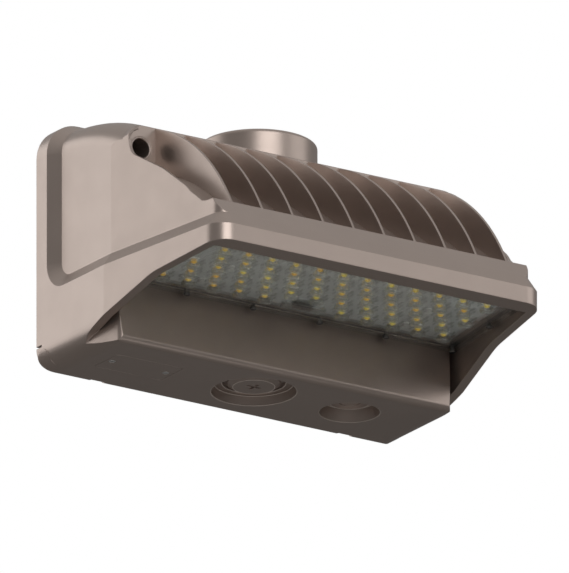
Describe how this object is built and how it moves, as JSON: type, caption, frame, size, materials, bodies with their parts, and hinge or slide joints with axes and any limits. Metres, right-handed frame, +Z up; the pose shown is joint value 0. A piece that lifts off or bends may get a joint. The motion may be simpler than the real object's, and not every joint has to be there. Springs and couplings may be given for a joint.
{
  "type": "wall pack light",
  "caption": "Hinged cast wall light on a flat wall plate: curved cooling fins above, downward LED panel behind a clear lens, photocontrol cap on top and round ports below.",
  "frame": {"origin": "on the wall, in the middle of the wall plate's rear face, at half the housing's width and height", "axes": "+X along the wall to the right as seen from the front, +Y into the wall, +Z up"},
  "size_m": [0.3212, 0.2239, 0.1944],
  "materials": {
    "bronze_paint": "satin bronze powder coat on die-cast aluminium",
    "clear_lens": "clear moulded polycarbonate",
    "rubber_seal": "matte silicone",
    "steel": "plain stainless",
    "brass": "plain",
    "board_grey": "light solder mask",
    "led_yellow": "yellow phosphor under clear resin",
    "black_plastic": "fine moulded",
    "driver_case": "satin",
    "white_plastic": "moulded",
    "lead_jacket": "smooth jacket"
  },
  "bodies": {
    "wall_plate": {"back_plate": "bronze_paint", "wall_gasket": "rubber_seal", "housing_gasket": "rubber_seal", "hinge_pins": "steel", "ground_screw": "brass"},
    "housing": {"front_housing": "bronze_paint", "cooling_fins": "bronze_paint", "access_sleeves": "bronze_paint", "captive_screws": "steel", "captive_rings": "steel", "led_board": "board_grey", "led_chips": "led_yellow", "led_connector": "black_plastic", "board_screws": "steel", "lens_plate": "clear_lens", "lens_gasket": "rubber_seal", "lens_screws": "steel", "led_driver": "driver_case", "driver_screws": "steel", "terminal_block": "black_plastic", "terminal_screws": "steel", "surge_protector": "black_plastic", "surge_screws": "steel", "led_lead": "lead_jacket", "supply_lead": "lead_jacket", "socket_lead": "lead_jacket", "port_collars": "bronze_paint", "main_port_plug": "bronze_paint", "side_port_plug": "bronze_paint", "port_rings": "rubber_seal", "port_nuts": "steel", "switch_cover": "bronze_paint", "switch_cover_gasket": "rubber_seal", "switch_cover_screws": "steel", "switch_board": "board_grey", "switch_board_screws": "steel", "photocontrol_socket": "black_plastic", "socket_gasket": "rubber_seal", "socket_screws": "steel"},
    "cap": {"photocontrol_cap": "bronze_paint", "cap_blades": "brass"},
    "colour_switch": {"colour_knob": "white_plastic"},
    "power_switch": {"power_knob": "white_plastic"}
  },
  "joints": [
    {"name": "housing_hinge", "type": "hinge", "parent": "wall_plate", "child": "housing", "pos_m": [0, -0.0083, -0.0894], "axis": [1, 0, 0], "range_deg": [0, 85]},
    {"name": "cap_turn", "type": "hinge", "parent": "housing", "child": "cap", "pos_m": [0, -0.0568, 0.0832], "axis": [0, 0, 1], "range_deg": [0, 30]},
    {"name": "colour_slide", "type": "slide", "parent": "housing", "child": "colour_switch", "axis": [1, 0, 0], "range_m": [-0.0025, 0.0025]},
    {"name": "power_slide", "type": "slide", "parent": "housing", "child": "power_switch", "axis": [1, 0, 0], "range_m": [-0.0025, 0.0025]}
  ]
}
